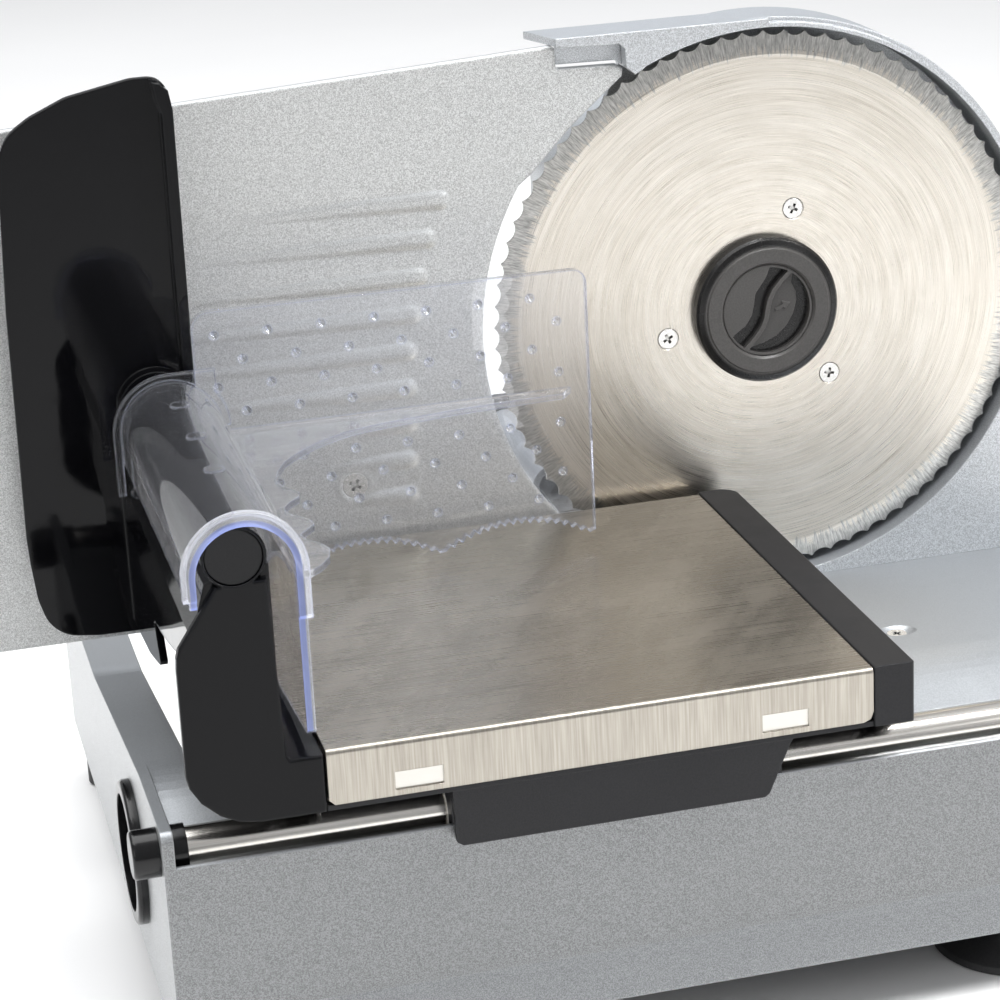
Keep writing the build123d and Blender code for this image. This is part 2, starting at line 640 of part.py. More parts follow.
def blade_lock_knob():
    """Finger disc with an S-shaped ridge.

    A deep groove lies left of the ridge, a lower floor with a deep crescent right of it.
    """
    knob = cyl_y(0, 0, 16.2 - 0.06, -4.3, -1.45)
    knob = soften_end(knob, Axis.Y, 0, 0.5)
    # (x, z) points, each running down from the top
    ridge_left = [(7.6, 13.2), (4.4, 10.3), (1.7, 7.2), (0.0, 3.8), (-0.9, 0.2),
                  (-1.4, -2.8), (-2.6, -5.6), (-4.9, -8.6), (-8.6, -12.4)]
    ridge_right = [(8.9, 12.4), (5.7, 9.6), (3.1, 6.6), (1.5, 3.4), (0.7, 0.0),
                   (0.1, -3.2), (-1.2, -6.2), (-3.6, -9.4), (-7.2, -13.3)]
    groove_left = [(0.9, 15.1), (-0.7, 11.4), (-2.7, 8.8), (-4.5, 6.4), (-5.0, 2.6),
                   (-5.9, -1.2), (-8.2, -4.6), (-13.2, -8.0)]
    crescent_edge = [(9.6, 12.0), (9.0, 8.6), (10.6, 5.4), (10.8, 2.0), (9.6, -2.4),
                     (7.0, -6.6), (3.4, -9.8), (-1.0, -11.6), (-6.4, -13.0)]
    disc = cyl_y(0, 0, 15.1, -7.0, 0.0)
    groove_outline = (ridge_left + [(-13.6, -14.0)] + groove_left[::-1]
                      + [(3.0, 18.0), (9.0, 17.0)])
    floor_outline = [(10.5, 15.0)] + ridge_right + [(-6.0, -20.0), (22.0, -20.0), (22.0, 15.0)]
    crescent_outline = crescent_edge + [(-4.0, -20.0), (24.0, -20.0), (24.0, 14.0)]
    groove = prism_y(rounded(groove_outline, 3.0, 3), -7.0, -1.75) & disc
    floor = prism_y(rounded(floor_outline, 2.0, 3), -7.0, -2.75) & disc
    crescent = prism_y(crescent_outline, -7.0, -1.75) & disc
    knob = knob - groove - floor - crescent
    # raised arrow, turned and moved onto the lower floor
    arrow = [(-2.7, -0.55), (0.4, -0.55), (0.4, -1.7), (3.0, 0), (0.4, 1.7), (0.4, 0.55),
             (-2.7, 0.55)]
    knob += prism_y([(x * 0.94 - z * 0.34 + 5.6, x * 0.34 + z * 0.94 + 0.6)
                     for x, z in arrow], -3.15, -2.7)
    knob += cyl_y(0, 0, 3.0, -1.5, 7.5)
    return largest(knob)


def blade_axle():
    axle = (cyl_y(0, 0, 5.0, 1.8, 15.0) + cyl_y(0, 0, 9.5, 13.0, 14.98)
            + cyl_y(0, 0, 4.0, 14.9, 19.4))
    return largest(axle - cyl_y(0, 0, 3.0 + running_gap, 1, 9.0))


def axle_nut():
    hexagon = [polar(7.0, 60 * k) for k in range(6)]
    return largest(prism_y(hexagon, well_y + 0.03, well_y + 3.6) - cyl_y(0, 0, 4.02, 10, 30))


# ---------------------------------------------------------------- drive
def idler_gear():
    pinion_start = idler_dir + 180 + 180.0 / idler_pinion_teeth
    gear = gear_wheel(blade_module, idler_pinion_teeth, pinion_start, idler, 3.3, 12.6)
    gear += cyl_y(*idler, 6.6, 12.5, 20.6)
    gear += gear_wheel(motor_module, idler_teeth, motor_dir, idler, 20.5, 28.0)
    return largest(gear - cyl_y(*idler, 3.0 + running_gap, 0, 40))


def idler_pin():
    return largest(cyl_y(*idler, 3.0, 3.0, 33.5))


def motor_rotor():
    pinion_start = motor_dir + 180 + 180.0 / motor_teeth
    rotor = gear_wheel(motor_module, motor_teeth, pinion_start, motor, 20.5, 28.5)
    rotor += cyl_y(*motor, 2.0, 19.5, 88.0) + cyl_y(*motor, 17.0, 44.0, 78.0)
    return largest(rotor)


def gearbox_plate():
    outline = rounded([(-4, -94.5), (91, -94.5), (91, -14), (-4, -5)], [5, 5, 8, 5])
    plate = prism_y(outline, 30.0, 32.5)
    post_y = well_y + 0.05
    for at in plate_posts:
        plate += cyl_y(*at, 4.5, post_y, 30.5)
        plate -= cyl_y(*at, 1.52, post_y - 1, 28)
    for at, radius in [(idler, 3.02), (motor, 8.0)] + [(at, 1.55) for at in motor_screw_xz]:
        plate -= cyl_y(*at, radius, 29, 40)
    return largest(plate)


def motor_can():
    can = cyl_y(*motor, 26.5, 32.55, 92.0)
    can = soften_end(can, Axis.Y, -1, 4.0)
    can -= cyl_y(*motor, 23.0, 40.0, 84.0)
    can -= cyl_y(*motor, 2.0 + running_gap, 30, 90)
    for at in motor_screw_xz:
        can -= cyl_y(*at, 1.52, 30, 39)
    return largest(can)


def motor_magnets():
    return largest(cyl_y(*motor, 22.95, 44.0, 80.0) - cyl_y(*motor, 18.2, 43, 81))


def motor_screws():
    stations = (28.2, 29.95, 29.9, 38.0)
    return [flat_screw(cyl_y, cross_y, at, 3.0, 1.5, stations) for at in motor_screw_xz]


def gearbox_screws():
    stations = (well_front - 1.5, well_front - 0.02, well_front - 0.1, 27.0)
    return [flat_screw(cyl_y, cross_y, at, 2.9, 1.5, stations) for at in left_plate_posts]


# ---------------------------------------------------------------- gauge plate
def gauge_plate():
    # the bottom edge meets the arc round the blade here
    arc_start = 360 + degrees(atan2(gauge_z0, -sqrt(gauge_arc_r ** 2 - gauge_z0 ** 2)))
    left_top = 97.2 + (gauge_x0 + 71.0) * 0.0531
    outline = [(gauge_x0 + 6, gauge_z0)] + arc_points(gauge_arc_r, arc_start, 148.6, 26)
    outline += [
        (-80.3, 55.3), (-66.8, 69.2), (-57.2, 77.4), (-48.0, 84.9), (-47.6, 87.4),
        (-49.9, 89.1), (-69.8, 89.5), (-70.4, 90.2), (-70.6, 96.2), (-71.8, 97.15),
        (gauge_x0 + 9, left_top + 0.4), (gauge_x0 + 3, left_top - 2.4),
        (gauge_x0, left_top - 8), (gauge_x0, gauge_z0 + 6), (gauge_x0 + 2, gauge_z0 + 2)]
    plate = prism_y(outline, gauge_y0, gauge_y1)
    plate = soften_end(plate, Axis.Y, 0, 0.7, scales=(1.0,))
    # ribs on the front face, from the top: (x of the right end, length)
    ribs = [(-106.2, 84), (-111.3, 92), (-115.1, 96), (-118.0, 98), (-120.0, 96),
            (-121.0, 84), (-121.4, 34), (-122.0, 32), (-122.5, 30)]
    rib_r, rib_height = 5.4, 1.15
    for i, (x, length) in enumerate(ribs):
        # a ball-ended rod, tilted so that it sinks into the plate at its left end
        tilt = degrees(atan2(rib_height + 0.15, length))
        rod = Pos(-length / 2, 0, 0) * Rot(0, 90, 0) * Cylinder(rib_r, length)
        place = Pos(x - rib_r, gauge_y0 + rib_r - rib_height, 50.2 - 12.55 * i)
        rib = place * (Rot(0, 0, -tilt) * rod + Sphere(rib_r))
        plate += rib & box(-400, 0, gauge_y0 - 3, gauge_y0 + 0.6, -200, 200)
    plate += cyl_y(*gauge_screw, 6.2, gauge_y0 - 0.25, gauge_y0 + 0.1)
    plate -= csk_hole(*gauge_screw, gauge_y0 - 0.25, 4.4, 2.1, 3, 0.05)
    return largest(plate)


def gauge_plate_screw():
    return csk_screw(*gauge_screw, gauge_y0 - 0.2, 4.35, 2.05, 7.5, turn=30)


def gauge_carrier():
    carrier = (box(-166, -126, 3.0, 7.0, -84.5, -30) + box(-166, -60, 3.0, 7.0, -84.5, -67)
               + cyl_y(*gauge_screw, 8.0, gauge_y1 + 0.02, 3.2))
    carrier = carrier + box(-74, -60, 6.8, 46.0, -84.5, -66.5)
    carrier -= cyl_y(*guide_axis, 3.0 + running_gap, 0, 60)
    carrier -= cyl_y(*thickness_axis, 3.0 + running_gap, 0, 60)
    carrier -= cyl_y(*gauge_screw, 2.1, 0, 12)
    return largest(carrier)


def gauge_guide_rod():
    return largest(cyl_y(*guide_axis, 3.0, well_y + 0.5, rear_y - 4.05))


def thickness_screw():
    return largest(cyl_y(*thickness_axis, 3.0, well_y + 0.5, rear_y + 12.0)
                   + cyl_y(*thickness_axis, 3.9, 86.5, 89.5))


def thickness_knob():
    x, z = thickness_axis
    knob = (cyl_y(x, z, 18.5, rear_y + 0.6, rear_y + 6.0)
            + cone_y(x, z, 16.5, 14.5, rear_y + 5.9, rear_y + 19.0))
    knob = soften_end(knob, Axis.Y, -1, 1.2)
    for k in range(18):       # finger flutes
        across, up = polar(17.4, 20 * k)
        knob -= cyl_y(x + across, z + up, 1.6, rear_y + 6.5, rear_y + 22)
    knob -= cyl_y(x, z, 3.02, rear_y - 1, rear_y + 12.1)
    for k in range(11):       # scale marks cut in the front face of the skirt
        angle = 90 - 30 * k
        across, up = polar(17.2, angle)
        mark = Rot(0, -angle, 0) * Box(1.8, 0.8, 0.5)
        knob -= Pos(x + across, rear_y + 0.6, z + up) * mark
    return largest(knob)


# ---------------------------------------------------------------- switch and button, right wall
def switch_block(x0, x1, half_y, half_z):
    return box(x0, x1, switch_y - half_y, switch_y + half_y, switch_z - half_z, switch_z + half_z)


def switch_bezel():
    bezel = soften_end(switch_block(100.02, 102.0, 10, 14), Axis.X, -1, 0.8)
    bezel += switch_block(92.0, 101.0, 7.9, 11.9)
    bezel -= switch_block(93.5, 103, 6.6, 10.8)
    bezel -= cyl_y(rocker_x, switch_z, 1.25, switch_y - 7.5, switch_y + 7.5)
    return largest(bezel)


def power_rocker():
    # (x, z) about the pivot, before tipping
    section = [(-3.0, -8.0), (-3.0, 8.0), (3.4, 9.8), (2.2, 0.0), (3.4, -9.8)]
    tip = radians(9.0)
    rocker = prism_y([(rocker_x + x * cos(tip) - z * sin(tip),
                       switch_z + x * sin(tip) + z * cos(tip)) for x, z in section],
                     switch_y - 6.5, switch_y + 6.5)
    return largest(rocker + cyl_y(rocker_x, switch_z, 1.2, switch_y - 7.4, switch_y + 7.4))


def button_bezel():
    bezel = cyl_x(*button, 10.0, 100.02, 101.6)
    bezel = soften_end(bezel, Axis.X, -1, 0.7)
    bezel += cyl_x(*button, 7.9, 92.0, 101.0)
    bezel -= cyl_x(*button, 6.5, 93.6, 103)
    bezel -= cyl_x(*button, 2.6, 90, 103)
    return largest(bezel)


def safety_button():
    cap = cyl_x(*button, 6.5 - running_gap, 98.2, 104.2)
    cap = soften_end(cap, Axis.X, -1, 1.0)
    cap += cyl_x(*button, 2.6 - running_gap, 90.5, 98.4)
    return largest(cap)


def button_spring():
    coil = Helix(pitch=0.85, height=1.36, radius=4.4, center=(93.96, *button),
                 direction=(1, 0, 0))
    return largest(sweep(Plane(origin=coil @ 0, z_dir=coil % 0) * Circle(0.35), path=coil))


# ---------------------------------------------------------------- carriage
def carriage_frame():
    frame = box(tray_x0 - 0.4, tray_x1 + 0.2, tray_y0 + 0.6, tray_y1 - 0.4,
                frame_z0, tray_z0 - 0.15)
    frame += box(tray_x0 + 1.2, tray_x1 - 1.2, tray_y0 + 1.5, tray_y1 - 1.2,
                 tray_z0 - 0.3, tray_z1 - 1.0)
    frame -= box(tray_x0 + 3.8, tray_x1 - 3.8, tray_y0 + 4.2, tray_y1 - 3.8,
                 frame_z0 + 2.0, tray_z1)
    for x in (-150.0, -110.0, -70.0):   # ribs
        frame += box(x - 1.1, x + 1.1, tray_y0 + 3, tray_y1 - 3, frame_z0 + 1, tray_z1 - 1.0)
    frame += box(tray_x0 + 3, tray_x1 - 3, -104, -101.8, frame_z0 + 1, tray_z1 - 1.0)
    # slide block round the rail, with a seat for a bush at each end
    top = frame_z0 + 0.5
    slide = box(slide_x0, slide_x1, -164.1, -145.6, rail[1] - 8.5, top)
    slide = slide - cyl_x(*rail, 6.6, slide_x0 - 1, slide_x1 + 1)
    for x in (slide_x0 - 0.01, slide_x1 + 0.01 - bush_len):
        slide -= cyl_x(*rail, bush_r + 0.02, x, x + bush_len)
    frame += slide
    frame -= cyl_x(*rail, 6.6, slide_x0 - 1, slide_x1 + 1)
    # skirt that hides the slide block from the front
    skirt = prism_y([(slide_x0, top), (slide_x0 + 0.6, -97.2), (slide_x0 + 2.4, -98.4),
                     (slide_x1 - 6.0, -98.4), (slide_x1 - 4.6, -97.4), (slide_x1 + 2.0, -82.5),
                     (slide_x1 + 3.4, top)], -170.2, -167.6)
    skirt += prism_y([(slide_x0, top), (slide_x0, -92.4), (slide_x1, -92.4), (slide_x1, top)],
                     -168.0, -163.0)
    frame += skirt
    for at in carriage_screw_yz:
        frame -= cyl_x(*at, 1.55, tray_x0 - 2, tray_x0 + 6)
        frame -= cyl_x(*at, 1.55, tray_x1 - 6, tray_x1 + 2)
    return largest(frame)


def slide_bushes():
    return [largest(cyl_x(*rail, bush_r, x + 0.05, x + 21.9)
                    - cyl_x(*rail, rail_r + running_gap, x - 1, x + 24))
            for x in (slide_x0, slide_x1 - 21.95)]


def rear_glide():
    """Strip under the carriage that slides on the base top."""
    front, rear = -37.0, -30.0
    top = frame_z0 - 0.02
    section = [(front, top), (front, top_z(front) + 0.2),
               (front + 1.0, top_z(front + 1) + 0.12), (rear - 1.0, top_z(rear - 1) + 0.12),
               (rear, top_z(rear) + 0.2), (rear, top)]
    return largest(prism_x(section, -205.0, -20.0))


def carriage_tray():
    tray = box(tray_x0, tray_x1, tray_y0, tray_y1, tray_z0, tray_z1)
    tray = soften(tray, tray.edges().filter_by(Axis.X).group_by(Axis.Z)[-1], 1.6)
    tray -= box(tray_x0 + 0.8, tray_x1 - 0.8, tray_y0 + 1.3, tray_y1 - 0.8,
                tray_z0 - 1, tray_z1 - 0.8)
    # side walls cut away between front and rear, leaving a rim along the top
    sides = box(tray_x0 - 1, tray_x1 + 1, tray_y0 + 14, tray_y1 - 14, tray_z0 - 1, tray_z1 - 4.0)
    tray -= sides - box(tray_x0 + 3, tray_x1 - 3, -400, 400, -200, 0)
    # lower corners of the front wall: right rounded, left bevelled
    right_corner = [(tray_x1 + 1, tray_z0 - 1), (tray_x1 + 1, tray_z0 + 3.2),
                    (tray_x1, tray_z0 + 3.2), (tray_x1 - 0.9, tray_z0 + 0.9),
                    (tray_x1 - 3.2, tray_z0), (tray_x1 - 3.2, tray_z0 - 1)]
    left_corner = [(tray_x0 - 1, tray_z0 - 1), (tray_x0 - 1, tray_z0 + 1.6),
                   (tray_x0, tray_z0 + 1.6), (tray_x0 + 1.6, tray_z0),
                   (tray_x0 + 1.6, tray_z0 - 1)]
    for corner in (right_corner, left_corner):
        tray -= prism_y(corner, tray_y0 - 1, tray_y0 + 3)
    # two shallow recesses in the front face
    for x0, x1 in ((-172.6, -158.4), (-62.2, -47.8)):
        tray -= box(x0, x1, tray_y0 - 1, tray_y0 + 0.7, -77.3, -71.6)
    for at in carriage_screw_yz:
        tray -= cyl_x(*at, 1.6, tray_x0 - 1, tray_x0 + 2)
        tray -= cyl_x(*at, 1.6, tray_x1 - 2, tray_x1 + 1)
    return largest(tray)


def carriage_end_cap():
    left, rear = tray_x1 + 0.35, tray_y1 + 0.5
    outline = rounded([(left, tray_y0), (cap_x1, tray_y0), (cap_x1, rear), (left, rear)],
                      [0.6, 1.0, 7.0, 0.6])
    cap = prism_z(outline, frame_z0, tray_z1 + 0.4)
    cap = soften_end(cap, Axis.Z, -1, 0.7)
    cap -= box(tray_x1 + 2.5, cap_x1 - 2.2, tray_y0 + 2.2, tray_y1 - 8, frame_z0 - 1, tray_z1 - 2)
    for at in carriage_screw_yz:
        cap -= cyl_x(*at, 1.52, tray_x1 - 1, tray_x1 + 6)
    return largest(cap)


def hand_guard():
    """Shield, grip tube, front post and side beam in one moulding."""
    shield = [
        (-203.4, 103.2), (-206.0, 104.0), (-212.1, 104.0), (-232.3, 100.1), (-244.0, 95.0),
        (-251.0, 90.4), (-254.3, 84.7), (-255.2, 76.0), (-257.2, 33.7), (-258.4, -40.7),
        (-258.0, -49.5), (-256.8, -62.0), (-254.6, -69.5), (-251.6, -73.2), (-247.6, -75.6),
        (-238.0, -76.8), (-202.0, -77.2), (-201.2, 9.0), (-200.2, 94.3), (-201.2, 100.9)]
    guard = prism_y(rounded(shield, 14.0, 3), shield_y0, shield_y1)
    guard = soften_end(guard, Axis.Y, 0, 0.9, scales=(1.0,))
    # rim along the right edge of the shield
    guard += prism_y([(-201.2, -60), (-200.2, 94.3), (-201.2, 100.4), (-203.6, 102.6),
                      (-206.0, 103.2), (-205.2, 98.0), (-203.6, 93.0), (-204.6, -60)],
                     -27.6, shield_y1)
    guard += cyl_y(*grip, grip_r, tray_y0 + 0.4, shield_y0 + 0.5)
    guard += cyl_y(*grip, 12.0, -28.0, shield_y0 + 0.2)
    # front post
    post_outline = [
        (-219.2, -8.6), (-230.8, -25.5), (-231.6, -28.2), (-231.9, -31.6), (-232.0, -64.0),
        (-231.2, -67.6), (-228.2, -72.6), (-223.2, -77.2), (-218.0, -79.8), (-212.0, frame_z0),
        (-192.7, frame_z0), (-192.7, -63.2), (-202.2, -63.2), (-203.2, -61.6), (-204.6, -8.0)]
    post = (prism_y(post_outline, tray_y0, tray_y0 + 2.6)
            + cyl_y(*grip, grip_r, tray_y0, tray_y0 + 2.6))
    post = soften(post, largest(post).edges().group_by(Axis.Y)[0], 0.8, scales=(1.0,))
    guard += post
    # right web and side beam
    guard += box(-206.2, -203.7, tray_y0 + 2, shield_y0 + 0.5, frame_z0 + 4, -4.0)
    guard += box(-206.2, -192.7, tray_y0 + 0.5, -9.0, frame_z0, -63.2)
    guard -= box(-203.8, -194.8, tray_y0 + 3.0, -12.0, frame_z0 - 1, -65.4)
    # left web: an (x, z) section trimmed to a (y, z) side view
    web = prism_y([(-218.5, -6.5), (-222.0, -8.0), (-226.6, -24.0), (-226.6, -73.0),
                   (-224.2, -73.0), (-224.2, -24.4), (-219.6, -8.8)],
                  tray_y0 + 2, shield_y0 + 0.5)
    side_view = prism_x([
        (shield_y0 + 1.0, -3.0), (-168.8, -3.0), (-168.8, -30.0), (-150.0, -36.5),
        (-126.0, -43.5), (-108.0, -47.3), (-95.0, -49.4), (-84.0, -50.6), (-80.4, -52.4),
        (-81.6, -56.0), (-86.6, -62.6), (-85.4, -64.2), (-74.0, -67.0), (-60.0, -70.0),
        (-40.0, -72.0), (shield_y0 + 1.0, -73.0)], -240, -215)
    guard = guard + (web & side_view)
    guard -= cyl_y(*grip, 8.36, tray_y0 - 2, tray_y0 + 14)
    for at in carriage_screw_yz:
        guard -= cyl_x(*at, 1.52, -197.0, -190)
    return largest(guard)


def grip_end_plug():
    plug = cyl_y(*grip, 8.32, tray_y0 + 0.5, tray_y0 + 3.6)
    return largest(soften_end(plug, Axis.Y, 0, 0.5))


def carriage_screws():
    screws = []
    for at in carriage_screw_yz:
        left = (cyl_x(*at, 1.5, tray_x0 - 4.6, tray_x0 + 3.85)
                + cyl_x(*at, 2.9, tray_x0 + 3.84, tray_x0 + 5.6))
        right = (cyl_x(*at, 1.5, tray_x1 - 3.85, tray_x1 + 2.4)
                 + cyl_x(*at, 2.9, tray_x1 - 5.6, tray_x1 - 3.84))
        screws += [largest(left), largest(right)]
    return screws


# ---------------------------------------------------------------- food pusher
push_y0, push_y1 = -40.5, -38.0         # plate
push_x0, push_x1 = -202.2, -74.0
push_z0, push_z1 = -58.2, 32.5
saddle_x, saddle_z = -211.0, -4.4       # saddle over the grip tube
saddle_in_r, saddle_out_r = 13.95, 16.0
saddle_right = saddle_x + saddle_in_r


def serrated_arch(x0, x1):
    """Shallow arch of small teeth in the lower edge of the plate."""
    rise, chord, steps = 7.2, 50.0, 34
    radius = (chord * chord / 4 + rise * rise) / (2 * rise)
    centre_z = push_z0 + 0.4 + rise - radius
    points = []
    for k in range(steps + 1):
        x = x0 + (x1 - x0) * k / steps
        z = centre_z + sqrt(max(0.0, radius ** 2 - (x - (x0 + x1) / 2) ** 2))
        if 0 < k < steps:
            z += 0.95 if k % 2 else -0.75
        points.append((x, z))
    return points


def spikes():
    """Staggered rows of cones on the rear face of the plate."""
    cones = []
    row = 0
    z = 24.0
    while z > -50:
        x = -195.0 + (8.55 if row % 2 else 0)
        while x < -77:
            if abs(z + 7.5) > 3.2:
                cones.append(cone_y(x, z, 1.45, 0.35, push_y1 - 0.05, push_y1 - 0.05 + 2.7))
            x += 17.1
        z -= 8.55
        row += 1
    return cones


def upper_half(radius, y0, y1):
    return (cyl_y(saddle_x, saddle_z, radius, y0, y1)
            - box(-300, 0, -300, 300, -300, saddle_z))


def saddle():
    x, z = saddle_x, saddle_z
    front = tray_y0 - 4.2
    body = upper_half(saddle_out_r, front + 1.0, push_y1)
    body += box(x - saddle_out_r, x + saddle_out_r, front + 1.0, push_y1, -13.0, z)
    flange = upper_half(17.8, front, front + 3.0)
    flange += box(x - 17.8, x + 17.8, front, front + 3.0, -10.5, z)
    flange += box(x, x + 17.8, front, front + 3.0, -19.5, z)
    collar_y = (push_y0 - 1.8, push_y0 + 0.6)
    collar = upper_half(18.6, *collar_y)
    collar += box(x - 18.6, x + 10, *collar_y, -23.5, z)
    collar += box(x, push_x0 + 6, *collar_y, z, z + 18.6)
    collar -= box(x - 16.2, x, push_y0 - 3.0, push_y0 + 1.0, -100, -13.0)
    body = body + flange + collar
    # channel for the tube, open below
    body -= cyl_y(x, z, saddle_in_r, -400, 0)
    body -= box(x - saddle_in_r, x + saddle_in_r, -400, 0, -100, z)
    body -= box(-300, x, -400, push_y0 - 3.0, -100, -13.0)
    for k in range(3):        # round pads on top
        body += cyl_z(x, -66.0 - 32.0 * k, 3.0, z + saddle_out_r - 1.0, z + saddle_out_r + 0.35)
    return body


def food_pusher():
    outline = rounded([(push_x1, 0), (push_x1, push_z1), (push_x0, push_z1), (push_x0, 0)],
                      [0, 4.5, 5.5, 0])
    outline += [(push_x0, -14.0), (-197.8, -16.0), (-197.8, push_z0), (-179.0, push_z0)]
    outline += serrated_arch(-177.0, -127.0) + serrated_arch(-125.0, -76.2)
    outline += [(push_x1, push_z0 + 1.6)]
    pusher = prism_y(outline, push_y0, push_y1)
    pusher = pusher + spikes()
    # wall on the right of the saddle, running forward from the plate
    pusher += prism_x([(tray_y0 - 2.0, saddle_z), (tray_y0 - 2.0, -54.0),
                       (tray_y0 - 0.6, -55.4), (-130.0, push_z0), (push_y1 - 0.5, push_z0),
                       (push_y1 - 0.5, saddle_z)], saddle_right, saddle_right + 2.6)
    pusher += saddle()
    # scalloped shelf between saddle and plate, (x, y)
    shelf = [
        (-80.6, push_y0 + 0.5), (-84.6, -46.0), (-106.0, -47.4), (-124.0, -49.2),
        (-140.0, -51.9), (-150.0, -54.0), (-158.7, -57.0), (-168.5, -63.2), (-176.8, -71.4),
        (-182.0, -78.0), (-185.6, -86.0), (-187.8, -94.5), (-187.0, -100.5), (-184.6, -104.6),
        (-183.2, -108.0), (-184.0, -111.2), (-187.6, -115.2), (-190.0, -119.6),
        (-189.8, -124.0), (-187.0, -128.6), (-184.6, -132.4), (-184.4, -136.2),
        (-187.2, -139.6), (-189.6, -143.0), (-189.0, -147.4), (-185.6, -152.6),
        (-184.2, -157.6), (-185.4, -163.6), (-188.8, -169.4), (-193.4, -173.6),
        (saddle_right + 0.5, -173.8), (saddle_right + 0.5, push_y0 + 0.5)]
    pusher += prism_z(shelf, -8.6, -6.6)
    return largest(pusher)


# ---------------------------------------------------------------- export
# each function's name is the name of its file; a list becomes one compound
pieces = [
    base_housing, base_bottom_cover, base_cover_screws, suction_feet, foot_screws,
    carriage_rail, rail_cap_left, rail_cap_right, cord_port_bezel, strain_relief,
    power_cord, power_plug, plug_pins, blade_housing, motor_cover, cover_screws,
    base_top_screw, blade, blade_gear, blade_screws, blade_hub, blade_lock_knob,
    blade_axle, axle_nut, idler_gear, idler_pin, motor_rotor, gearbox_plate, motor_can,
    motor_magnets, motor_screws, gearbox_screws, gauge_plate, gauge_plate_screw,
    gauge_carrier, gauge_guide_rod, thickness_screw, thickness_knob, switch_bezel,
    power_rocker, button_bezel, safety_button, button_spring, carriage_frame,
    slide_bushes, rear_glide, carriage_tray, carriage_end_cap, hand_guard,
    grip_end_plug, carriage_screws, food_pusher]
for build in pieces:
    shape = build()
    if isinstance(shape, list):
        shape = Compound(children=shape)
    export_step(Pos(*export_shift) * shape, f"parts/{build.__name__}.step")
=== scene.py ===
"""Looks, stage, lights and camera for a food slicer with a round blade.

Metres, +Z up. The front faces -Y and the blade turns about an axle along Y.
"""
import bpy, math
from mathutils import Matrix, Vector


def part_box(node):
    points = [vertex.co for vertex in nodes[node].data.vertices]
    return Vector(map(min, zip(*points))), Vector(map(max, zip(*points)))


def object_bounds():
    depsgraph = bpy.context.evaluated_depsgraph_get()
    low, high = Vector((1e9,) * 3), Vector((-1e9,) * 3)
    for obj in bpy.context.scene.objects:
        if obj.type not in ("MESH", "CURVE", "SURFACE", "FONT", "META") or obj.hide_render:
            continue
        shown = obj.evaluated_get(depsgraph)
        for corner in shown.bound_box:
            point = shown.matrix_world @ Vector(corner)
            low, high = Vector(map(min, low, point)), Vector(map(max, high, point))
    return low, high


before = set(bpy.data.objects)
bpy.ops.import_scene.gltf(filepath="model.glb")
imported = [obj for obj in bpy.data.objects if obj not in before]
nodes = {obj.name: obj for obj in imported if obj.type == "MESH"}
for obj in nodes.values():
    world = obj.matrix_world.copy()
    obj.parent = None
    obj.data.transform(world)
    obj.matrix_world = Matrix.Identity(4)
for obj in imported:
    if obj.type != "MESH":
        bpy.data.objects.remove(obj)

cad_lo, cad_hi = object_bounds()


def centre_xz(piece):
    lo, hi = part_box(piece)
    return (lo.x + hi.x) / 2, (lo.z + hi.z) / 2


# The blade's rings, the hub's face and the camera are all placed from the blade's centre.
AXLE_X, AXLE_Z = centre_xz("blade_axle")
BLADE_FRONT_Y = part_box("blade")[0].y


# ------------------------------------------------------------------ node helpers
PRINCIPLED_INPUTS = {
    "color": "Base Color", "rough": "Roughness", "metal": "Metallic",
    "spec": "Specular IOR Level", "ior": "IOR", "trans": "Transmission Weight",
    "coat": "Coat Weight", "coat_rough": "Coat Roughness", "normal": "Normal",
    "aniso": "Anisotropic", "tangent": "Tangent",
}


def put(tree, socket, value):
    """Link a socket, or set a value; colours are given as RGB and None is left alone."""
    if isinstance(value, bpy.types.NodeSocket):
        tree.links.new(value, socket)
    elif value is not None:
        socket.default_value = (*value, 1.0) if socket.type == "RGBA" else value


def add_node(tree, kind, inputs=None, **settings):
    made = tree.nodes.new("ShaderNode" + kind)
    for key, value in settings.items():
        setattr(made, key, value)
    for key, value in (inputs or {}).items():
        put(tree, made.inputs[key], value)
    return made


def scaled(colour, factor):
    return tuple(x * factor for x in colour)


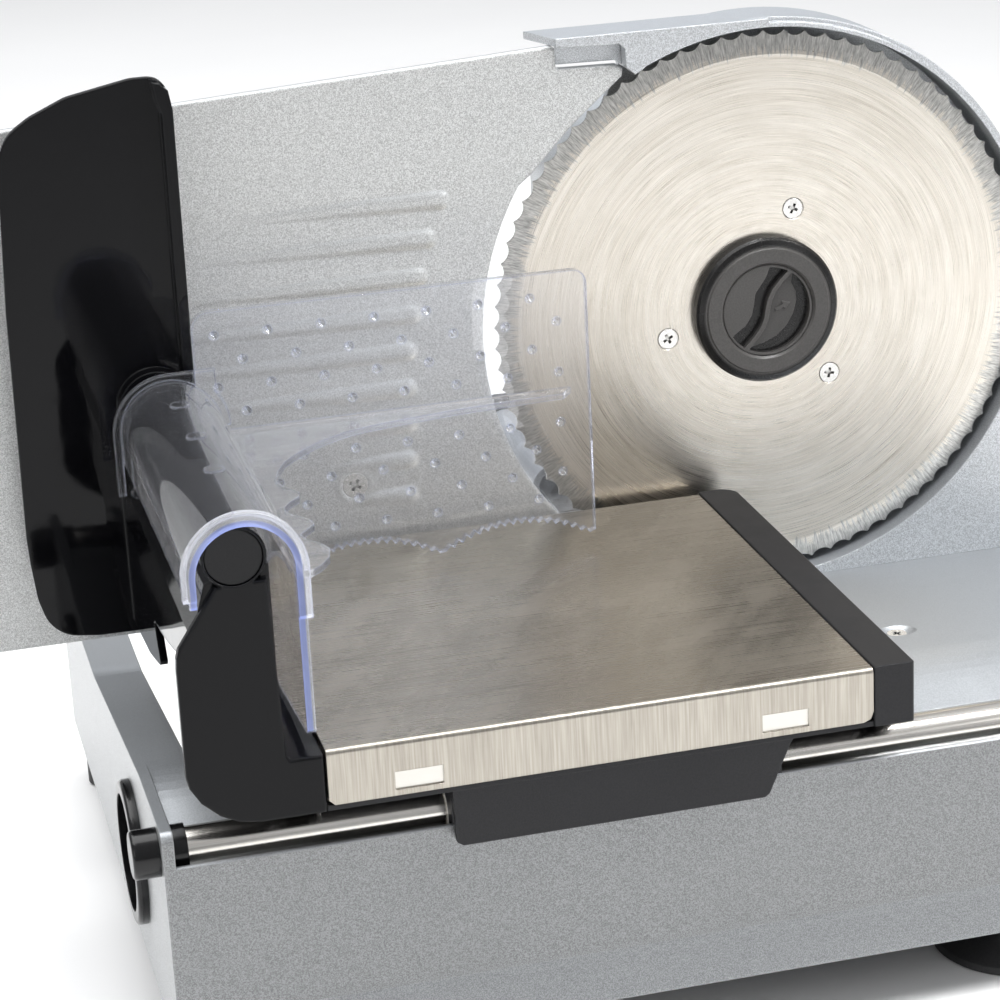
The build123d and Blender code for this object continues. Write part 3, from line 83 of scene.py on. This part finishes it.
class Material:
    """A Principled material; methods that add nodes return the output socket."""

    def __init__(self, name):
        self.data = bpy.data.materials.new(name)
        self.data.use_nodes = True
        self.tree = self.data.node_tree
        self.tree.nodes.clear()
        self.output = self.node("OutputMaterial")
        self.principled = self.node("BsdfPrincipled")
        self.surface(self.principled.outputs[0])
        self.coords = self.node("TexCoord").outputs["Object"]

    def node(self, kind, inputs=None, **settings):
        return add_node(self.tree, kind, inputs, **settings)

    def surface(self, shader):
        put(self.tree, self.output.inputs["Surface"], shader)

    def shade(self, **values):
        for key, value in values.items():
            put(self.tree, self.principled.inputs[PRINCIPLED_INPUTS[key]], value)
        return self.data

    def math(self, operation, a, b=None):
        return self.node("Math", {0: a, 1: b}, operation=operation).outputs[0]

    def add(self, a, b):
        return self.math("ADD", a, b)

    def mul(self, a, b):
        return self.math("MULTIPLY", a, b)

    def hypot(self, a, b):
        return self.math("SQRT", self.add(self.mul(a, a), self.mul(b, b)))

    def choose(self, mask, outside, inside):
        """One value where the mask is 0, the other where it is 1."""
        return self.add(self.mul(outside, self.math("SUBTRACT", 1.0, mask)),
                        self.mul(inside, mask))

    def noise(self, scale, detail=2.0, rough=0.5, coords=None, distort=0.0, turn=None):
        """Noise; scale is in features per metre, one number or one for each axis."""
        if not isinstance(scale, tuple):
            scale = (scale, scale, scale)
        coords = coords or self.coords
        if turn:
            coords = self.node("Mapping", {"Vector": coords, "Rotation": turn}).outputs[0]
        coords = self.node("Mapping", {"Vector": coords, "Scale": scale}).outputs[0]
        return self.node("TexNoise", {"Vector": coords, "Scale": 1.0, "Detail": detail,
                                      "Roughness": rough, "Distortion": distort}).outputs["Fac"]

    def remap(self, value, span=(0.3, 0.7), to=(0.0, 1.0)):
        return self.node("MapRange", {"Value": value, "From Min": span[0], "From Max": span[1],
                                      "To Min": to[0], "To Max": to[1]}).outputs[0]

    def mix(self, factor, low, high, blend_type="MIX"):
        return self.node("Mix", {0: factor, 6: low, 7: high}, data_type="RGBA",
                         blend_type=blend_type).outputs[2]

    def fade(self, value, low, high, span=(0.3, 0.7), to=(0.0, 1.0)):
        """Colour from low to high as the value crosses the span."""
        return self.mix(self.remap(value, span, to), low, high)

    def split(self, vector=None):
        return self.node("SeparateXYZ", {0: vector or self.coords}).outputs

    def bump(self, height, distance, strength, normal=None):
        return self.node("Bump", {"Strength": strength, "Distance": distance,
                                  "Height": height, "Normal": normal}).outputs[0]

    def bevel(self, radius):
        return self.node("Bevel", {"Radius": radius}, samples=4).outputs[0]

    def edge(self, radius):
        """1 close to a sharp edge, 0 on open faces."""
        flat = self.node("NewGeometry").outputs["Normal"]
        facing = self.node("VectorMath", {0: self.bevel(radius), 1: flat},
                           operation="DOT_PRODUCT").outputs["Value"]
        return self.remap(facing, span=(0.995, 0.86))

    # lighter colour near sharp edges: partly wear, partly a painted highlight along the rims
    def edge_wear_and_highlight(self, colour, wear_and_highlight_colour, radius, amount):
        return self.mix(self.mul(self.edge(radius), amount), colour, wear_and_highlight_colour)

    def from_axle(self):
        """X and Z offsets from the blade's axle."""
        x, y, z = self.split()
        return self.math("SUBTRACT", x, AXLE_X), self.math("SUBTRACT", z, AXLE_Z)


# ------------------------------------------------------------------ metals
def silver(name, tint, metal, rough, grain, soft=0.0006, painted_front_shade=1.0):
    """Metallic paint: grain is flake contrast, soft the edge radius, and the last argument the
    painted shade multiplied into faces turned to the front.
    """
    mat = Material(name)
    # metallic flake in the paint, a little under half a millimetre across
    fine = mat.noise(scale=2700, rough=0.8)
    flake = mat.node("TexVoronoi", {"Vector": mat.coords, "Scale": 1900}).outputs["Distance"]
    cloud = mat.noise(scale=9)
    grime = mat.noise(scale=60, detail=5.0, rough=0.7)
    _, normal_y, normal_z = mat.split(mat.node("NewGeometry").outputs["Normal"])
    up = mat.remap(normal_z, span=(0.10, 0.98))
    color = mat.fade(fine, scaled(tint, 1 - grain), scaled(tint, 1 + grain), span=(0.38, 0.62))
    color = mat.fade(flake, color, scaled(tint, 1.7), span=(0.05, 0.28), to=(0.55, 0.0))
    color = mat.fade(cloud, color, scaled(tint, 0.86), to=(0.0, 0.10))
    # painted shade and sheen: faces turned to the front are painted darker, and faces that look
    # up are painted lighter and cooler, as the top lamp would light them; those faces also get
    # a smoother bump
    color = mat.mix(mat.remap(normal_y, span=(-0.90, -0.98)), color, (painted_front_shade, painted_front_shade, painted_front_shade),
                    blend_type="MULTIPLY")
    painted_top_sheen = (tint[0] * 1.02, tint[1] * 1.06, tint[2] * 1.12)
    color = mat.mix(mat.mul(up, 0.62), color, painted_top_sheen)
    return mat.shade(
        # edges painted lighter: partly wear, partly painted highlight
        color=mat.edge_wear_and_highlight(color, scaled(tint, 1.4), radius=0.0011, amount=0.25),
        metal=metal,
        rough=mat.add(mat.remap(fine, to=(rough - 0.06, rough + 0.10)),
                      mat.remap(grime, span=(0.55, 0.8), to=(0.0, 0.06))),
        normal=mat.bump(fine, distance=0.00008,
                        strength=mat.remap(up, span=(0.0, 1.0), to=(0.5, 0.2)),
                        normal=mat.bevel(soft)),
        coat=0.06, coat_rough=0.25)


def blade_brushed():
    mat = Material("blade_brushed")
    dx, dz = mat.from_axle()
    radius, angle = mat.hypot(dx, dz), mat.math("ARCTAN2", dz, dx)

    def round_noise(scale, detail, rough):
        # scale is along the radius, then round the disc
        wrapped = mat.node("CombineXYZ", {0: radius, 1: mat.math("SINE", angle),
                                          2: mat.math("COSINE", angle)}).outputs[0]
        return mat.noise(scale, detail, rough, coords=wrapped)

    # turning marks: rings that change slowly round the disc
    ring = round_noise(scale=(5200, 3.0, 3.0), detail=3.0, rough=0.65)
    coarse = round_noise(scale=(700, 1.6, 1.6), detail=2.0, rough=0.5)
    swirl = round_noise(scale=(90, 5.0, 5.0), detail=3.0, rough=0.5)
    # the ground bevel has short scratches across it and a frayed inner border
    scratch = round_noise(scale=(260, 190, 190), detail=3.0, rough=0.7)
    fray = round_noise(scale=(30, 120, 120), detail=2.0, rough=0.6)
    frayed = mat.add(radius, mat.remap(fray, span=(0.35, 0.65), to=(-0.0022, 0.0022)))
    ground = mat.remap(frayed, span=(0.0874, 0.0888))

    color = mat.fade(ring, (0.46, 0.42, 0.36), (0.79, 0.74, 0.665), span=(0.32, 0.68))
    color = mat.fade(coarse, color, (0.82, 0.785, 0.73), span=(0.35, 0.65), to=(0, 0.35))
    color = mat.fade(swirl, color, (0.56, 0.52, 0.455), span=(0.5, 0.75), to=(0, 0.30))
    ground_color = mat.fade(scratch, (0.30, 0.295, 0.28), (0.66, 0.65, 0.62),
                            span=(0.34, 0.66))
    tangent = mat.node("Tangent", direction_type="RADIAL", axis="Y").outputs[0]
    return mat.shade(
        color=mat.mix(ground, color, ground_color), metal=1.0,
        rough=mat.add(mat.remap(ring, to=(0.24, 0.36)), mat.mul(ground, 0.05)),
        aniso=0.55, tangent=tangent,
        normal=mat.bump(mat.choose(ground, ring, scratch), distance=0.00004, strength=0.5))


def tray_stainless():
    mat = Material("tray_stainless")
    _, y, z = mat.split()
    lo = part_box("carriage_tray")[0]
    diagonal = (0, 0, math.radians(-52))
    # buffing marks with a painted highlight: soft light streaks that run diagonally across the
    # sheet
    along = mat.noise(scale=(7.0, 2600, 2600), detail=3.0, rough=0.6)
    wave = mat.noise(scale=(26, 70, 30), detail=3.0, turn=diagonal, distort=0.4)
    fuzz = mat.noise(scale=(60, 700, 200), detail=3.0, rough=0.7, turn=diagonal)
    cloud = mat.noise(scale=(7, 9, 9), distort=0.3)
    upright = mat.noise(scale=(1500, 60, 40.0), detail=3.0, rough=0.6)
    # masks: the front edge, and a pale band set back in it
    front = mat.remap(y, span=(lo.y + 0.0012, lo.y + 0.0022), to=(1.0, 0.0))
    recess = mat.mul(front, mat.remap(y, span=(lo.y + 0.0003, lo.y + 0.0005)))
    band = mat.mul(mat.remap(z, span=(lo.z + 0.0018, lo.z + 0.0021)),
                   mat.remap(z, span=(lo.z + 0.0070, lo.z + 0.0073), to=(1.0, 0.0)))

    color = mat.fade(along, (0.42, 0.385, 0.335), (0.56, 0.52, 0.46))
    # painted highlight: the diagonal streaks lighten the colour towards a pale buff
    streak = mat.mul(mat.remap(wave, span=(0.38, 0.74), to=(0, 0.16)),
                     mat.remap(fuzz, to=(0.35, 1.0)))
    color = mat.mix(streak, color, (0.80, 0.76, 0.69))
    color = mat.fade(cloud, color, (0.36, 0.335, 0.30), span=(0.35, 0.7), to=(0, 0.08))
    # painted shade: the front flange gets a darker colour than the top of the same sheet
    front_painted_shade_color = mat.fade(upright, (0.31, 0.285, 0.245), (0.45, 0.42, 0.37))
    front_painted_shade_color = mat.mix(mat.mul(recess, band), front_painted_shade_color, (0.62, 0.60, 0.56))
    rough = mat.add(mat.remap(along, to=(0.21, 0.29)),
                    mat.remap(wave, span=(0.4, 0.7), to=(0.0, 0.05)))
    return mat.shade(
        color=mat.mix(front, color, front_painted_shade_color), metal=1.0, aniso=0.35,
        rough=mat.add(rough, mat.mul(front, 0.08)),
        normal=mat.bump(mat.choose(front, along, upright), distance=0.00003, strength=0.45,
                        normal=mat.bevel(0.0005)))


def rail_chrome():
    mat = Material("rail_chrome")
    streak = mat.noise(scale=(16, 2600, 2600), detail=3.0, rough=0.6)
    stain = mat.noise(scale=40, detail=4.0, rough=0.6)
    color = mat.fade(streak, (0.70, 0.665, 0.61), (0.90, 0.875, 0.83))
    color = mat.fade(stain, color, (0.55, 0.52, 0.48), span=(0.55, 0.75), to=(0, 0.25))
    return mat.shade(
        color=color, metal=1.0, rough=mat.remap(streak, to=(0.14, 0.24)),
        normal=mat.bump(streak, distance=0.00002, strength=0.4, normal=mat.bevel(0.0004)))


def steel(name, tint, rough, grain=(900, 900, 900), depth=0.00004, recess=False):
    """Plain metal; grain is the noise scale, depth its bump, recess paints shade into the
    hollows.
    """
    mat = Material(name)
    fine = mat.noise(scale=grain, detail=3.0, rough=0.6)
    stain = mat.noise(scale=120, detail=4.0, rough=0.6)
    color = mat.fade(fine, scaled(tint, 0.82), scaled(tint, 1.12))
    color = mat.fade(stain, color, scaled(tint, 0.6), span=(0.5, 0.8), to=(0, 0.35))
    # edges painted lighter: partly wear, partly painted highlight
    color = mat.edge_wear_and_highlight(color, scaled(tint, 1.2), radius=0.0004, amount=0.4)
    if recess:
        # painted shade: ambient occlusion darkens the hollows towards near black
        shade = mat.node("AmbientOcclusion", {"Distance": 0.0012}, samples=6, only_local=True)
        color = mat.fade(shade.outputs["AO"], color, (0.018, 0.017, 0.016),
                         span=(0.35, 0.72), to=(0.95, 0.0))
    return mat.shade(
        color=color, metal=0.72 if recess else 1.0,
        rough=mat.remap(fine, to=(rough - 0.05, rough + 0.07)),
        normal=mat.bump(fine, distance=depth, strength=0.4, normal=mat.bevel(0.0003)))


def motor_windings():
    mat = Material("motor_windings")
    turns = mat.noise(scale=(260, 2600, 260))
    return mat.shade(
        color=mat.fade(turns, (0.05, 0.045, 0.045), (0.12, 0.11, 0.10), span=(0.35, 0.65)),
        metal=0.5, rough=0.55, normal=mat.bump(turns, distance=0.0002, strength=0.5))


# ------------------------------------------------------------------ plastics and rubber
def plastic(name, tint, rough, texture, coat=0.0, speck=0.25):
    """Moulded plastic; texture is bump height, speck the contrast of the fine grain."""
    mat = Material(name)
    fine = mat.noise(scale=1900, detail=3.0, rough=0.6)
    marks = mat.noise(scale=35, detail=4.0, rough=0.6)
    color = mat.fade(fine, scaled(tint, 1 - speck), scaled(tint, 1 + speck))
    # lighter edge colour: partly wear, partly painted highlight along the rims
    edge_wear_and_highlight_color = tuple(min(1, x * 1.6 + 0.006) for x in tint)
    height = mat.add(mat.mul(fine, texture), mat.mul(marks, 0.02))
    return mat.shade(
        color=mat.edge_wear_and_highlight(color, edge_wear_and_highlight_color, radius=0.0009, amount=0.4),
        # faint handling marks: patches that are a little less shiny
        rough=mat.add(mat.remap(marks, span=(0.45, 0.75), to=(rough, rough + 0.09)),
                      mat.remap(fine, to=(0.0, 0.03))),
        coat=coat, coat_rough=0.04, spec=0.25,
        normal=mat.bump(height, distance=0.00012, strength=0.6, normal=mat.bevel(0.0006)))


def guard_gloss_black():
    mat = Material("guard_gloss_black")
    fine = mat.noise(scale=2400)
    ripple = mat.noise(scale=22, detail=3.0)
    smear = mat.noise(scale=(60, 260, 60), detail=4.0, rough=0.6, distort=1.2)
    color = mat.fade(fine, (0.0014, 0.0014, 0.0018), (0.0036, 0.0036, 0.0044),
                     span=(0.35, 0.65))
    return mat.shade(
        # edges painted lighter: partly wear, partly painted highlight along the rims
        color=mat.edge_wear_and_highlight(color, (0.016, 0.017, 0.019), radius=0.0008, amount=0.4),
        rough=mat.add(mat.remap(smear, span=(0.5, 0.8), to=(0.035, 0.09)),
                      mat.remap(ripple, span=(0.4, 0.7), to=(0.0, 0.02))),
        spec=0.17,
        normal=mat.bump(ripple, distance=0.0016, strength=0.10, normal=mat.bevel(0.0009)))


def hub_black():
    mat = Material("hub_black")
    radius = mat.hypot(*mat.from_axle())
    y = mat.split()[1]
    front_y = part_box("blade_lock_knob")[0].y
    fine = mat.noise(scale=1900, detail=3.0, rough=0.6)
    marks = mat.noise(scale=60, detail=4.0, rough=0.6)
    face = mat.fade(fine, (0.058, 0.055, 0.053), (0.088, 0.084, 0.081))
    dark = mat.fade(fine, (0.006, 0.006, 0.006), (0.013, 0.012, 0.012))
    # bare outer rim and the floors of the recesses are darker than the fine-textured face
    bare = mat.math("MAXIMUM", mat.remap(radius, span=(0.0224, 0.0227)),
                    mat.remap(y, span=(front_y + 0.0013, front_y + 0.0024)))
    color = mat.mix(bare, face, dark)
    return mat.shade(
        # edges painted lighter: partly wear, partly painted highlight along the rims
        color=mat.edge_wear_and_highlight(color, (0.13, 0.125, 0.12), radius=0.0005, amount=0.4),
        rough=mat.add(mat.remap(marks, span=(0.4, 0.75), to=(0.30, 0.40)),
                      mat.mul(bare, -0.08)),
        spec=0.3,
        normal=mat.bump(fine, distance=0.00006, strength=0.5, normal=mat.bevel(0.0003)))


def pusher_clear():
    mat = Material("pusher_clear")
    front_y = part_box("food_pusher")[0].y
    x, y, z = mat.split()
    ripple = mat.noise(scale=30, detail=3.0)
    fine = mat.noise(scale=700)
    edge = mat.edge(0.0011)
    normal_z = mat.split(mat.node("NewGeometry").outputs["Normal"])[2]

    # glass, blue-violet along the edges of the moulding
    tint = mat.fade(ripple, (0.965, 0.972, 0.985), (0.99, 0.993, 1.0), span=(0.35, 0.65))
    mat.shade(
        color=mat.mix(mat.mul(edge, 0.75), tint, (0.42, 0.50, 0.93)),
        trans=1.0, ior=1.33, spec=0.4, rough=mat.remap(fine, to=(0.012, 0.03)),
        normal=mat.bump(mat.add(ripple, mat.mul(fine, 0.02)), distance=0.0006,
                        strength=0.16, normal=mat.bevel(0.0006)),
        coat=mat.remap(normal_z, span=(0.05, 0.5)), coat_rough=0.02)

    # mostly seen straight through, so what lies behind stays sharp; glassy at grazing angles
    through = mat.node("BsdfTransparent", {
        0: mat.mix(mat.mul(edge, 0.6), (0.978, 0.982, 0.994), (0.55, 0.62, 0.95))})
    facing = mat.node("LayerWeight", {"Blend": 0.35}).outputs["Facing"]
    glassy = mat.math("MAXIMUM", mat.remap(facing, span=(0.10, 0.80), to=(0.16, 1.0)),
                      mat.remap(normal_z, span=(0.0, 0.5), to=(0.0, 0.6)))
    body = mat.node("MixShader", {0: glassy, 1: through.outputs[0],
                                  2: mat.principled.outputs[0]})

    # inner zone of the front flange: near the saddle's centre line, and straight down below
    plug_x, plug_z = centre_xz("grip_end_plug")
    saddle_x, saddle_z = plug_x + 0.0024, plug_z - 0.0039
    dx = mat.math("SUBTRACT", x, saddle_x)
    dz = mat.math("MAXIMUM", mat.math("SUBTRACT", z, saddle_z), 0.0)
    flange = mat.remap(y, span=(front_y + 0.0028, front_y + 0.0034), to=(1.0, 0.0))
    inner = mat.mul(flange, mat.remap(mat.hypot(dx, dz), span=(0.0155, 0.0160),
                                      to=(1.0, 0.0)))

    # pale haze: thick rims and the saddle's flanges scatter some light, and the pale layer also
    # stands in for their white highlights as a painted highlight
    haze_and_highlight = mat.node("BsdfPrincipled", {
        "Base Color": mat.mix(inner, (0.93, 0.94, 0.97), (0.34, 0.41, 0.80)),
        "Roughness": 0.18})
    rim = mat.mul(flange, mat.remap(inner, span=(0.0, 1.0), to=(0.24, 0.42)))
    haze_and_highlight_amount = mat.add(mat.mul(edge, 0.15), mat.add(rim, 0.012))
    hazy_and_highlighted = mat.node("MixShader", {0: haze_and_highlight_amount, 1: body.outputs[0], 2: haze_and_highlight.outputs[0]})

    # shadow rays pass almost freely
    shadow = mat.node("BsdfTransparent", {0: (0.93, 0.95, 0.98)})
    is_shadow = mat.node("LightPath").outputs["Is Shadow Ray"]
    mat.surface(mat.node("MixShader", {0: is_shadow, 1: hazy_and_highlighted.outputs[0],
                                       2: shadow.outputs[0]}).outputs[0])
    absorb = mat.node("VolumeAbsorption", {"Color": (0.45, 0.52, 0.98), "Density": 6.0})
    put(mat.tree, mat.output.inputs["Volume"], absorb.outputs[0])
    return mat.data


def rubber(name, tint, rough):
    mat = Material(name)
    fine = mat.noise(scale=1500, detail=4.0, rough=0.7)
    dust = mat.noise(scale=70, detail=5.0, rough=0.7)
    color = mat.fade(fine, scaled(tint, 0.75), scaled(tint, 1.4))
    return mat.shade(
        color=mat.fade(dust, color, (0.07, 0.068, 0.065), span=(0.55, 0.8), to=(0, 0.25)),
        rough=mat.remap(dust, span=(0.4, 0.7), to=(rough - 0.08, rough + 0.1)),
        normal=mat.bump(fine, distance=0.0001, strength=0.5, normal=mat.bevel(0.0006)))


# ------------------------------------------------------------------ materials on pieces
MATERIALS = {
    "silver": silver("silver_paint", (0.44, 0.45, 0.455), metal=0.68, rough=0.36,
                     grain=0.38, painted_front_shade=0.48),
    "housing": silver("housing_silver", (0.50, 0.515, 0.53), metal=0.64, rough=0.36,
                      grain=0.32),
    "gauge": silver("gauge_silver", (0.535, 0.54, 0.535), metal=0.62, rough=0.38,
                    grain=0.36, soft=0.0022),
    "blade": blade_brushed(),
    "tray": tray_stainless(),
    "chrome": rail_chrome(),
    "screw": steel("screw_bright", (0.78, 0.77, 0.74), rough=0.22,
                   grain=(1500, 300, 1500), recess=True),
    "gear": steel("gear_steel", (0.47, 0.455, 0.43), rough=0.36),
    "motor": steel("motor_plated", (0.52, 0.51, 0.47), rough=0.32, grain=(900, 120, 900)),
    "cast": steel("carrier_cast", (0.58, 0.59, 0.60), rough=0.45, grain=(800, 800, 800),
                  depth=0.0001),
    "gloss": guard_gloss_black(),
    "hub": hub_black(),
    "plug": plastic("plug_black", (0.006, 0.006, 0.0065), rough=0.30, texture=0.25),
    "knob": plastic("knob_black", (0.005, 0.005, 0.0055), rough=0.18, texture=0.10, coat=0.2),
    "matte": plastic("frame_grey_black", (0.013, 0.013, 0.0145), rough=0.40, texture=0.55),
    "cover": plastic("underside_black", (0.020, 0.020, 0.021), rough=0.50, texture=0.9),
    "nylon": plastic("nylon_white", (0.74, 0.72, 0.67), rough=0.45, texture=0.3, speck=0.05),
    "green": plastic("rocker_green", (0.025, 0.16, 0.07), rough=0.22, texture=0.15,
                     coat=0.2, speck=0.12),
    "clear": pusher_clear(),
    "rubber": rubber("foot_rubber", (0.016, 0.016, 0.017), rough=0.62),
    "cord": rubber("cord_pvc", (0.014, 0.014, 0.015), rough=0.42),
    "brass": steel("pin_brass", (0.72, 0.57, 0.30), rough=0.25),
    "magnet": motor_windings(),
}

# material key: the pieces that wear it
PIECES = {
    "silver": "base_housing",
    "housing": "blade_housing motor_cover",
    "gauge": "gauge_plate",
    "blade": "blade",
    "tray": "carriage_tray",
    "chrome": "carriage_rail gauge_guide_rod thickness_screw",
    "screw": "base_cover_screws foot_screws cover_screws base_top_screw blade_screws axle_nut "
             "idler_pin motor_screws gearbox_screws gauge_plate_screw button_spring "
             "carriage_screws",
    "gear": "blade_gear blade_axle idler_gear motor_rotor",
    "motor": "gearbox_plate motor_can",
    "cast": "gauge_carrier",
    "gloss": "hand_guard",
    "hub": "blade_hub blade_lock_knob",
    "plug": "grip_end_plug",
    "knob": "rail_cap_left rail_cap_right cord_port_bezel thickness_knob switch_bezel "
            "button_bezel safety_button",
    "matte": "carriage_frame rear_glide carriage_end_cap",
    "cover": "base_bottom_cover",
    "nylon": "slide_bushes",
    "green": "power_rocker",
    "clear": "food_pusher",
    "rubber": "suction_feet",
    "cord": "strain_relief power_cord power_plug",
    "brass": "plug_pins",
    "magnet": "motor_magnets",
}
LOOK = {piece: key for key, pieces in PIECES.items() for piece in pieces.split()}

for name, piece in nodes.items():
    piece.data.materials.clear()
    piece.data.materials.append(MATERIALS[LOOK[name]])


# ------------------------------------------------------------------ stage
scene = bpy.context.scene


def build_floor(half, drop):
    """A pale square, half its side given, just under the lowest point."""
    mat = Material("floor_pale")
    color = mat.fade(mat.noise(scale=3.0, detail=3.0), (0.90, 0.90, 0.90), (0.93, 0.93, 0.93))
    mat.shade(color=color, rough=0.75, spec=0.2)
    mesh = bpy.data.meshes.new("floor")
    z = cad_lo.z - drop
    corners = [(-half, -half, z), (half, -half, z), (half, half, z), (-half, half, z)]
    mesh.from_pydata(corners, [], [(0, 1, 2, 3)])
    floor = bpy.data.objects.new("floor", mesh)
    floor.data.materials.append(mat.data)
    scene.collection.objects.link(floor)


def area(name, loc, target, size, power, size_y=None):
    light = bpy.data.lights.new(name, "AREA")
    light.shape = "RECTANGLE"
    light.size = size
    light.size_y = size_y or size
    light.energy = power
    lamp = bpy.data.objects.new(name, light)
    lamp.location = loc
    lamp.rotation_mode = "QUATERNION"
    lamp.rotation_quaternion = (Vector(target) - Vector(loc)).to_track_quat("-Z", "Y")
    scene.collection.objects.link(lamp)


def build_world():
    """The camera sees plain white; other rays see a grey that brightens upwards."""
    world = bpy.data.worlds.new("studio")
    scene.world = world
    world.use_nodes = True
    tree = world.node_tree
    tree.nodes.clear()
    direction = add_node(tree, "TexCoord").outputs["Generated"]
    height = add_node(tree, "SeparateXYZ", {0: direction}).outputs[2]
    level = add_node(tree, "MapRange", {"Value": height, "From Min": -1.0}).outputs[0]
    ramp = add_node(tree, "ValToRGB", {0: level})
    stops = ramp.color_ramp.elements
    stops[0].position, stops[0].color = 0.45, (0.42, 0.42, 0.43, 1)
    stops[1].position, stops[1].color = 0.95, (0.95, 0.96, 0.98, 1)
    stops.new(0.62).color = (0.62, 0.63, 0.65, 1)
    sky = add_node(tree, "Background", {0: ramp.outputs[0], 1: 0.62})
    white = add_node(tree, "Background", {0: (1, 1, 1), 1: 1.0})
    is_camera = add_node(tree, "LightPath").outputs["Is Camera Ray"]
    both = add_node(tree, "MixShader", {0: is_camera, 1: sky.outputs[0], 2: white.outputs[0]})
    add_node(tree, "OutputWorld", {0: both.outputs[0]})


def build_camera(offset, yaw, pitch, roll, lens):
    """Offset is from the blade's front centre; yaw turns from +Y to +X, pitch looks down."""
    data = bpy.data.cameras.new("camera")
    camera = bpy.data.objects.new("camera", data)
    scene.collection.objects.link(camera)
    forward = Vector((math.sin(yaw) * math.cos(pitch), math.cos(yaw) * math.cos(pitch),
                      -math.sin(pitch)))
    level_right = Vector((math.cos(yaw), -math.sin(yaw), 0))
    level_down = forward.cross(level_right)
    cos_roll, sin_roll = math.cos(roll), math.sin(roll)
    right = cos_roll * level_right + sin_roll * level_down
    down = -sin_roll * level_right + cos_roll * level_down
    turn = Matrix((right, -down, -forward)).transposed()
    x, y, z = offset
    place = Vector((AXLE_X + x, BLADE_FRONT_Y + y, AXLE_Z + z))
    camera.matrix_world = Matrix.Translation(place) @ turn.to_4x4()
    data.sensor_width = 36.0
    data.lens = lens
    data.clip_start, data.clip_end = 0.02, 50
    scene.camera = camera


build_floor(half=9.0, drop=0.0002)
area("key", loc=(-0.5, 0.25, 1.9), target=(-0.02, 0.0, 0.1), size=1.7, power=38)
area("front_left", loc=(-1.5, -1.1, 0.75), target=(0, 0, 0.12), size=0.8, power=4.5)
area("front_right", loc=(1.3, -1.6, 0.9), target=(0, 0, 0.1), size=0.9, power=3)
area("strip", loc=(0.55, -0.35, 1.15), target=(-0.1, -0.12, 0.1), size=0.07, power=15,
     size_y=1.1)
build_world()
build_camera(offset=(-0.318964, -0.918838, 0.280883), yaw=0.23768785, pitch=0.34321102,
             roll=0.05163967, lens=105.771)
scene.view_settings.view_transform = "Standard"
scene.view_settings.look = "None"
